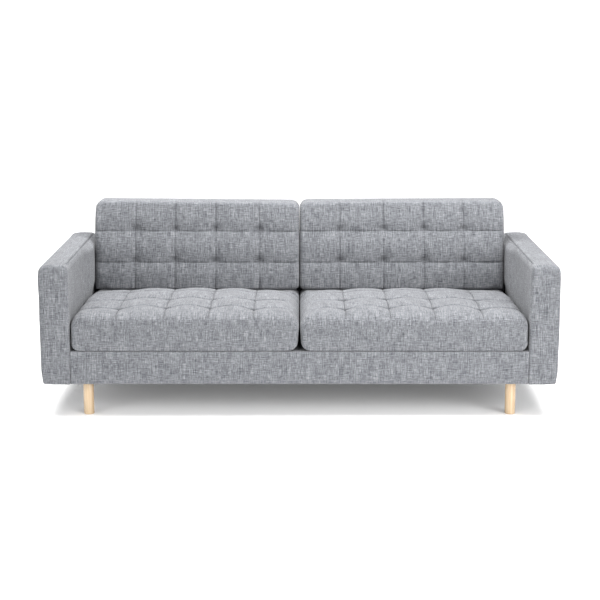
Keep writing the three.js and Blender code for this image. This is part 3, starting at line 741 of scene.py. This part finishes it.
def back_shape(rest, low, high, drop):
    """A back cushion's surface from its lattice, upright, with its face at y 0."""
    middle = (low + high) / 2
    bottom_corner = np.where(rest[:, 0] > middle[0], 8 * MM, 22 * MM)
    corner = np.where(rest[:, 2] > middle[2], 35 * MM, bottom_corner)
    beside_arm = near_end(high[0] - rest[:, 0]) * smooth_step(*BESIDE_ARM, rest[:, 2])
    wide = 11 * MM + 8 * MM * near_end(rest[:, 0] - low[0]) + 22 * MM * beside_arm
    deep = 24 * MM + 6 * MM * beside_arm
    box_low, box_high = (low[0], 0, low[2]), (high[0], BACK_THICKNESS, high[2])
    points = filleted(rest, box_low, box_high, corner, (wide, deep), BACK_REAR_EDGE)

    out, back, up = points.T.copy()
    share = (out - low[0]) / (high[0] - low[0])
    tall = np.clip((up - low[2]) / (high[2] - low[2]), 0, 1)
    bowed = 0
    for way, (bow, reach) in ((1, BACK_TOP_BOW), (-1, BACK_BOTTOM_BOW)):
        bowed = bowed + bow * (np.clip(way * (up - BACK_BELLY), 0, None) / reach) ** 2
    panel, row = across(out, BACK_COLUMNS), across(up, BACK_ROWS)
    quilted = BACK_TUFT - puff(panel, row, BACK_SEAM_RISE, BACK_SEAM_RISE, BACK_FILL)
    points[:, 1] += (bowed + quilted) * smooth_step(70 * MM, 10 * MM, back)

    # It swells against the arm, less below the arm's top, and hardly against the other cushion.
    belly = arch(back / BACK_THICKNESS, 0.5) * arch(tall, 0.3)
    outer_swell = (7.5 * MM - 5 * MM * smooth_step(*BESIDE_ARM, up)) * smooth_step(0.93, 1, share)
    inner_swell = 1.9 * MM * smooth_step(0.07, 0, share)
    points[:, 0] += belly * (outer_swell - inner_swell)
    points[:, 0] *= 1 - BACK_TAPER * tall
    points[:, 2] -= (BACK_TOP_SAG + drop * (1 - share)) * tall**2
    return points


def back_cushion(side_name, side):
    body = f"{side_name}_back_cushion"
    low, high = outward(f"{body}_cover", side)

    def shape(rest):
        return back_shape(rest, low, high, BACK_TOP_DROP[side_name])

    def pins(rest, _):
        column = nearness(rest[:, 0], BACK_COLUMNS, ON) > 0.5
        row = nearness(rest[:, 2], BACK_ROWS, ON) > 0.5
        face, rear = rest[:, 1] < ON, rest[:, 1] > BACK_THICKNESS - ON
        ends = (rest[:, 0] < low[0] + ON) | (rest[:, 0] > high[0] - ON)
        bottom = rest[:, 2] < low[2] + ON
        return ((column | row) & face) | rear | ends | bottom

    xs = stops(low[0], high[0], STEP, BACK_COLUMNS, ends=NEAR_ENDS)
    ys = stops(0, BACK_THICKNESS, STEP, ends=NEAR_ENDS)
    zs = stops(low[2], high[2], STEP, BACK_ROWS, ends=NEAR_ENDS)
    lattice, points = filled(body, (xs, ys, zs), shape, pins)

    # Seams and tufts are drawn into the filled cover, with painted shade in the grooves and painted shade
    # pools above each tuft.
    out, back, up = lattice.rest.T
    face = smooth_step(30 * MM, 8 * MM, back)
    inside = smooth_step(4 * MM, 20 * MM, out - low[0]) * smooth_step(4 * MM, 20 * MM, high[0] - out)
    columns = nearness(out, BACK_COLUMNS, GROOVE) * smooth_step(60 * MM, 30 * MM, back)
    across_rows = nearness(up, BACK_ROWS, GROOVE) * inside * face
    tufts = tufting(out, BACK_COLUMNS, up - BACK_TUFT_ABOVE, BACK_ROWS, BACK_TUFT_REACH) * face
    shade_pools = tufting(out, BACK_COLUMNS, up - BACK_SHADE_POOL_ABOVE, BACK_ROWS, BACK_SHADE_POOL_REACH) * face
    points[:, 1] += np.maximum(BACK_COLUMN_DEPTH * columns, BACK_ROW_DEPTH * across_rows)
    points[:, 1] += BACK_TUFT_DEPTH * tufts
    points[:, 1] += ripple(points, *UNEVEN, BACK_SEED + side) * face
    # Painted shade: in the seams' grooves, less on the upper row's, and in pools above each tuft where
    # shadow falls.
    row_shade = 0.4 - 0.1 * (up > BACK_BELLY)
    seam = np.maximum(0.4 * columns, row_shade * across_rows) + 0.45 * shade_pools
    points[:, 1] += low[1] + math.tan(LEAN) * (points[:, 2] - low[2])
    cushion(body, side, points, lattice, seam)


# ---------------------------------------------------------------- arms

BASE_TOP = corners("base_cover")[1][2]
ARM_SEAM = 13 * MM  # from the inner face to the seam along the top
ARM_SEAM_BESIDE = (1.5 * MM, 3.5 * MM, 6 * MM)  # extra rows of vertices beside the seam
ARM_ENDS = (3 * MM, 7 * MM)  # and near the edges
ARM_HANG = 1.5 * MM  # how far the cover reaches below its CAD node
ARM_CROWN = 3 * MM  # how much higher the middle of the top is
ARM_FALL = (6 * MM, 12 * MM)  # how much lower than that its inner and outer edges are
ARM_OUTER_SWELL = 2.5 * MM
ARM_INNER_SWELL = 14 * MM  # beside the back cushion
ARM_FRONT_BOW = 2 * MM
ARM_SPACING = (8 * MM, 10 * MM, 10 * MM)  # of its coarser rows of vertices; each gap is halved after that
ARM_GROOVE = (2.8 * MM, 4.5 * MM)  # half-width and depth of the seam's groove
ARM_PARTING = (1.4 * MM, 1 * MM)  # how much wider and deeper it is beside the back cushion
ARM_RIDGE = (3 * MM, 2 * MM)  # half-width and height of the ridge beside the groove
ARM_RIDGE_INWARDS = 6 * MM  # from the groove to the ridge
ARM_UNEVEN = (160 * MM, 0.5 * MM)  # size and height of its unevenness
ARM_SEED = 41


def arm_radii(rest, low, high, outward_share, at_rear):
    """How round an arm's edges are at each point, along X, Y and Z."""
    above_base = smooth_step(BASE_TOP - 20 * MM, BASE_TOP + 30 * MM, rest[:, 2])
    outer_foot = smooth_step(0, 0.8, outward_share) * (1 - above_base)
    at_top = smooth_step(high[2] - 60 * MM, high[2] - 20 * MM, rest[:, 2])
    wide = 6 * MM + 7 * MM * above_base + 5 * MM * outer_foot
    deep = wide + 10 * MM * at_rear + 8 * MM * at_top * (1 - at_rear)
    tall = np.where(above_base > 0.5, 24 * MM, 5 * MM + 6 * MM * outer_foot)
    return np.stack([wide + 2 * MM * at_rear, deep, tall], 1)


def arm_shape(rest, low, high, side):
    """An arm's surface from its lattice, and 1 for each point on its outer face, falling to 0 beside it."""
    middle, half = (low[0] + high[0]) / 2, (high[0] - low[0]) / 2
    at_rear = smooth_step(high[1] - 110 * MM, high[1] - 40 * MM, rest[:, 1])
    radii = arm_radii(rest, low, high, side * (rest[:, 0] - middle) / half, at_rear)
    points = rounded(rest, low, high, radii)
    x, y, z = points.T.copy()
    outward_share = side * np.clip((x - middle) / half, -1, 1)  # -1 on the inner face, 1 on the outer face
    tall = (z - low[2]) / (high[2] - low[2])
    deep = (y - low[1]) / (high[1] - low[1])

    near_top = smooth_step(high[2] - 60 * MM, high[2] - 4 * MM, z)
    inner_fall, outer_fall = ARM_FALL
    fall = np.where(outward_share > 0, outer_fall, inner_fall) * (1 - 0.3 * at_rear)
    points[:, 2] += (ARM_CROWN - fall * outward_share**2) * near_top

    # The outer face is tucked in at the foot, and swells above it.
    near_foot = smooth_step(60 * MM, 0, z - low[2])
    outer_face = smooth_step(0.8, 1, outward_share)
    points[:, 0] -= side * 5 * MM * near_foot * smooth_step(0, 1, outward_share)
    points[:, 0] += side * ARM_OUTER_SWELL * arch(tall, 1) * arch(deep, 0.3) * outer_face

    # The inner face swells towards the back cushion that leans beside it.
    beside_back = smooth_step(0.45, 0.7, deep) * smooth_step(BASE_TOP + 100 * MM, BASE_TOP + 175 * MM, z)
    inner_face = smooth_step(0.8, 1, -outward_share) * smooth_step(high[2], high[2] - 35 * MM, z)
    points[:, 0] -= side * ARM_INNER_SWELL * inner_face * beside_back

    at_front = smooth_step(12 * MM, 0, y - low[1])
    points[:, 1] -= ARM_FRONT_BOW * at_front * (1 - outward_share**2)
    return points, outer_face


def arm(side_name, side):
    """One arm's cover: crowned on top, softly square at the front, with a seam near its inner edge."""
    node = f"{side_name}_arm_cover"
    low, high = corners(node)
    inner_x = high[0] if side < 0 else low[0]
    seam = inner_x + side * ARM_SEAM
    low[2] -= ARM_HANG
    xs = stops(low[0], high[0], ARM_SPACING[0], [seam], ARM_SEAM_BESIDE, ARM_ENDS)
    ys, zs = (stops(low[i], high[i], ARM_SPACING[i], ends=ARM_ENDS) for i in (1, 2))
    lattice = Lattice(halved(xs), halved(ys), halved(zs))
    rest = lattice.rest
    points, outer_face = arm_shape(rest, low, high, side)

    # The seam is a groove with a low ridge along its inner side. It parts a little beside the back cushion.
    seamed = smooth_step(high[2] - 12 * MM, high[2] - 2 * MM, rest[:, 2])
    seamed *= smooth_step(50 * MM, 75 * MM, rest[:, 1] - low[1])
    deep = (rest[:, 1] - low[1]) / (high[1] - low[1])
    parting = smooth_step(0.55, 0.85, deep) * smooth_step(high[1] - 30 * MM, high[1] - 90 * MM, rest[:, 1])
    half_width, depth = (usual + more * parting for usual, more in zip(ARM_GROOVE, ARM_PARTING))
    groove = nearness(rest[:, 0], [seam], half_width) * seamed
    ridge_half_width, ridge_height = ARM_RIDGE
    ridge = nearness(rest[:, 0], [seam - side * ARM_RIDGE_INWARDS], ridge_half_width) * seamed
    points[:, 2] += ridge_height * ridge - depth * groove
    points[:, 0] += side * ripple(points, *ARM_UNEVEN, ARM_SEED + side) * outer_face
    piece = mesh_object(f"{side_name}_arm", points, lattice.quads)
    # Painted shade along the seam's groove, where shadow falls in it; it widens where the seam parts.
    lay_cloth(piece, lattice.uvs(), 1.5 * groove)
    stand_in(piece, node)


# ---------------------------------------------------------------- base, fixed back and dust sheet

BASE_SPACINGS = (16 * MM, 16 * MM, 10 * MM)
BASE_RADII = (3 * MM, 4 * MM, 3 * MM)
BASE_TURNED_IN = 10 * MM  # how far its cloth turns in underneath
BASE_ENDS = (1.5 * MM, 4 * MM, BASE_TURNED_IN)
BASE_FRONT_BOW = 2.5 * MM
BASE_FRONT_INSET = 0.5 * MM  # of the front's lower and upper edge
BASE_CLOTH = 1.2 * MM  # thickness


def base():
    """The cover stretched over the base's rails, its front a shallow curve. It is open underneath."""
    low, high = corners("base_cover")
    lattice = Lattice(*(stops(low[i], high[i], BASE_SPACINGS[i], ends=BASE_ENDS) for i in range(3)))
    points = rounded(lattice.rest, low, high, BASE_RADII)
    tall = (points[:, 2] - low[2]) / (high[2] - low[2])
    at_front = smooth_step(20 * MM, 0, points[:, 1] - low[1])
    points[:, 1] -= at_front * (BASE_FRONT_BOW * arch(tall, 1) - BASE_FRONT_INSET)
    middles = lattice.rest[lattice.quads].mean(1)
    inset = np.minimum(middles - low, high - middles)
    kept = (middles[:, 2] > low[2]) | (inset[:, :2].min(1) < BASE_TURNED_IN)
    used, quads = np.unique(lattice.quads[kept], return_inverse=True)
    piece = mesh_object("base_upholstery", points[used], quads.reshape(-1, 4))
    lay_cloth(piece, lattice.uvs()[kept])
    thicken(piece, BASE_CLOTH)
    stand_in(piece, "base_cover")


FIXED_BACK_SPACING = 16 * MM
FIXED_BACK_ENDS = (4 * MM, 10 * MM)
FIXED_BACK_RADII = (5 * MM, 14 * MM)  # of its edges at the bottom and above it
FIXED_BACK_SIDE_RADIUS = 6 * MM  # the most that its edges' rounding reaches in from the sides
FIXED_BACK_BULGE = 3 * MM  # of its rear


def fixed_back():
    """The fixed back's cover: a sloped face for the cushions, a straight rear."""
    low, high = corners("back_cover")
    lattice = Lattice(*(stops(low[i], high[i], FIXED_BACK_SPACING, ends=FIXED_BACK_ENDS) for i in range(3)))
    at_bottom, above = FIXED_BACK_RADII
    radius = at_bottom + (above - at_bottom) * smooth_step(30 * MM, 80 * MM, lattice.rest[:, 2] - low[2])
    radii = np.stack([np.minimum(radius, FIXED_BACK_SIDE_RADIUS), radius, radius], 1)
    points = rounded(lattice.rest, low, high, radii)
    along, deep, _ = ((points - low) / (high - low)).T
    points[:, 1] += math.tan(LEAN) * (points[:, 2] - low[2]) * np.clip(1 - deep, 0, 1)
    up = (points[:, 2] - low[2]) / (high[2] - low[2])
    at_rear = smooth_step(20 * MM, 0, high[1] - points[:, 1])
    points[:, 1] += FIXED_BACK_BULGE * at_rear * arch(up, 1) * arch(along, 0.3)
    piece = mesh_object("back_upholstery", points, lattice.quads)
    lay_cloth(piece, lattice.uvs())
    stand_in(piece, "back_cover")


SHEET_SPACING = 24 * MM
SHEET_DOWN = 0.5 * MM  # from the top of its CAD node
SHEET_HEM = 16 * MM  # width of the hem
SHEET_HEM_DOWN = 0.8 * MM  # how much lower the hem lies
SHEET_HEM_FOLD = 2 * MM  # width of the step beside it
SHEET_HOLE = 8 * MM  # half the width of the hole for a leg's bolt
SHEET_SAG = 5 * MM  # in the middle of each half
SHEET_CLOTH = 0.6 * MM  # thickness


def dust_sheet():
    """The dust cover under the base: a thin sheet, hemmed all round, with a hole for each leg's bolt."""
    low, high = corners("dust_cover")
    bolts = [np.mean(corners(n), 0)[:2] for n in frame["nodes"] if n.endswith("_leg_bolt")]
    ends = (1 * MM, SHEET_HEM - SHEET_HEM_FOLD, SHEET_HEM)
    places = []
    for i in (0, 1):
        marks = sorted({round(bolt[i] + way * SHEET_HOLE, 4) for bolt in bolts for way in (-1, 1)})
        places.append(stops(low[i], high[i], SHEET_SPACING, marks, (), ends))
    x, y = np.meshgrid(*places, indexing="ij")
    edge = np.minimum.reduce([x - low[0], high[0] - x, y - low[1], high[1] - y])
    bay = arch(np.abs(x) / high[0], 2) * arch((y - low[1]) / (high[1] - low[1]), 2)
    hem = smooth_step(SHEET_HEM, SHEET_HEM - SHEET_HEM_FOLD, edge)
    height = high[2] - SHEET_DOWN - SHEET_SAG * bay - SHEET_HEM_DOWN * hem
    points = np.stack([x, y, height], -1).reshape(-1, 3)
    number = np.arange(len(points)).reshape(x.shape)
    a, b, c, d = number[:-1, :-1], number[:-1, 1:], number[1:, 1:], number[1:, :-1]
    quads = np.stack([a, b, c, d], -1).reshape(-1, 4)
    middles = points[quads].mean(1)[:, :2]
    holes = [(np.abs(middles - bolt) < SHEET_HOLE).all(1) for bolt in bolts]
    quads = quads[~np.any(holes, 0)]
    piece = mesh_object("dust_sheet", points, quads)
    lay_cloth(piece, points[quads][..., :2])
    thicken(piece, SHEET_CLOTH)
    stand_in(piece, "dust_cover", material="lining")


# ---------------------------------------------------------------- legs and the CAD nodes that stay

LEG_POINTS_ROUND = 64
LEG_FOOT_EASE = 3 * MM  # radius of the foot's edge
LEG_TOP_EASE = 0.6 * MM  # how much narrower its top is than the ring below it
LEG_RINGS = (0.2, 0.4, 0.6, 0.8, 0.98)  # heights of the rings between foot and top, as shares of the leg


def leg(name):
    """A turned leg with a softened foot."""
    low, high = corners(name)
    centre = (low + high) / 2
    radius = (high[0] - low[0]) / 2
    tall = high[2] - low[2]
    bends = [math.radians(degrees) for degrees in range(0, 91, 15)]
    profile = [(radius / 2, 0)]
    profile += [
        (radius - LEG_FOOT_EASE * (1 - math.sin(bend)), LEG_FOOT_EASE * (1 - math.cos(bend)))
        for bend in bends
    ]
    profile += [(radius, tall * share) for share in LEG_RINGS]
    profile += [(radius - LEG_TOP_EASE, tall)]

    turn = 2 * math.pi * np.arange(LEG_POINTS_ROUND) / LEG_POINTS_ROUND
    around = np.stack([np.cos(turn), np.sin(turn), np.zeros_like(turn)], 1)
    foot = np.array([centre[0], centre[1], low[2]])
    points = np.concatenate([foot + around * reach + (0, 0, z) for reach, z in profile])
    number = np.arange(len(points)).reshape(len(profile), LEG_POINTS_ROUND)
    onward = np.roll(number, -1, 1)
    quads = np.stack([number[:-1], onward[:-1], onward[1:], number[1:]], -1).reshape(-1, 4)
    caps = [number[0, ::-1].tolist(), number[-1].tolist()]
    piece = mesh_object(name.replace("_leg", "_turned_leg"), points, quads, caps)
    stand_in(piece, name, material="leg_wood")


def finish_cad_nodes():
    slots = {part["node"]: part["material_slot"] for part in frame["record"]["subparts"]}
    for name, node in frame["nodes"].items():
        node.data.materials.clear()
        node.data.materials.append(MATERIALS[slots[name]])


# ---------------------------------------------------------------- camera, floor and light

CAMERA_PLACE = (0.002, -6.086, 1.598)
CAMERA_DOWN = math.radians(11.23)  # below the horizon
CAMERA_LENS = 88.4  # millimetres
CAMERA_SENSOR = 36  # millimetres
FLOOR_REACH = 300
FLOOR_NEAR = 1.5  # from the origin to where the floor starts to fade into the white of the walls
FLOOR_FADE = 3  # and from there to where it has faded
FLOOR_GLOW = (0.095, 0.6)  # emission near the sofa, painted light that lightens its shadow, and far from it
WALLS_SEEN = 1.5  # brightness of the walls in the picture, well into white
WALL_GLOWS = (  # bright parts of the walls: degrees round from the front, degrees up, focus, strength
    (-35, 20, 20, 7.2),
    (35, 20, 20, 8.6),
    (-90, 12, 14, 1.5),
)
SOFTBOX_SIZE = 1.6
SOFTBOXES = (  # place and watts of each lamp
    ("over_left", (-1.2, 0.8, 3.0), 151),
    ("over_right", (1.2, -0.8, 3.0), 149),
    ("front_right", (2.6, -2.6, 1.3), 30),
)
AIM = (0.3, 0, 0.5)  # where a lamp on the right points; one on the left points as far left


def add_camera(scene):
    camera = bpy.data.objects.new("camera", bpy.data.cameras.new("camera"))
    camera.location = CAMERA_PLACE
    camera.rotation_euler = (math.pi / 2 - CAMERA_DOWN, 0, 0)
    camera.data.lens = CAMERA_LENS
    camera.data.sensor_width = CAMERA_SENSOR
    scene.collection.objects.link(camera)
    scene.camera = camera


def add_floor():
    """A floor that takes the sofa's shadow and glows: painted light that lightens it, more where it fades
    into the walls.
    """
    square = np.array([(-1, -1, 0), (1, -1, 0), (1, 1, 0), (-1, 1, 0)]) * FLOOR_REACH
    floor = mesh_object("floor", square, np.array([(0, 1, 2, 3)]))
    n = Material("floor_paint", roughness=0.9, specular=0)
    n.colour((0.95, 0.95, 0.95, 1))
    distance = n.add("VectorMath", operation="LENGTH")
    n.link(n.place(), distance.inputs[0])
    past_near = n.math("SUBTRACT", distance.outputs["Value"], FLOOR_NEAR)
    far = n.math("DIVIDE", past_near, FLOOR_FADE, clamp=True)
    # Painted light: the faint glow near the sofa lightens the shadow under it.
    n.feed(n.shader.inputs["Emission Color"], (1, 1, 1, 1))
    n.feed(n.shader.inputs["Emission Strength"], n.blend(far, *FLOOR_GLOW))
    floor.data.materials.append(n.material)


def add_walls(scene):
    """The studio's walls: pure white in the picture, and brighter in some places than others as light."""
    world = bpy.data.worlds.new("studio")
    world.use_nodes = True
    n = Tree(world.node_tree)
    direction = n.add("TexCoord").outputs["Generated"]
    light = 0
    for round_from_front, up, focus, strength in WALL_GLOWS:
        turn, rise = math.radians(round_from_front), math.radians(up)
        facing = n.add("VectorMath", operation="DOT_PRODUCT")
        n.link(direction, facing.inputs[0])
        level = math.cos(rise)
        facing.inputs[1].default_value = (math.sin(turn) * level, -math.cos(turn) * level, math.sin(rise))
        glow = n.math("POWER", n.math("MAXIMUM", facing.outputs["Value"], 0), focus)
        light = n.math("ADD", n.math("MULTIPLY", glow, strength), light)
    in_picture = n.add("LightPath").outputs["Is Camera Ray"]
    background = n.tree.nodes["Background"]
    background.inputs["Color"].default_value = (1, 1, 1, 1)
    n.link(n.blend(in_picture, light, WALLS_SEEN), background.inputs["Strength"])
    scene.world = world


def add_lamps(scene):
    for name, place, watts in SOFTBOXES:
        light = bpy.data.lights.new(name, "AREA")
        light.size = SOFTBOX_SIZE
        light.energy = watts
        lamp = bpy.data.objects.new(name, light)
        lamp.location = place
        aim = Vector((math.copysign(AIM[0], place[0]), AIM[1], AIM[2]))
        lamp.rotation_euler = (aim - lamp.location).to_track_quat("-Z", "Y").to_euler()
        scene.collection.objects.link(lamp)


def studio():
    scene = bpy.context.scene
    add_camera(scene)
    add_floor()
    add_walls(scene)
    add_lamps(scene)
    scene.view_settings.view_transform = "Standard"
    scene.view_settings.look = "None"
    scene.view_settings.exposure = 0


studio()
finish_cad_nodes()
for side_name, side in SIDES:
    seat_cushion(side_name, side)
    back_cushion(side_name, side)
    arm(side_name, side)
base()
fixed_back()
dust_sheet()
for name in [n for n in frame["nodes"] if n.endswith("_leg")]:
    leg(name)
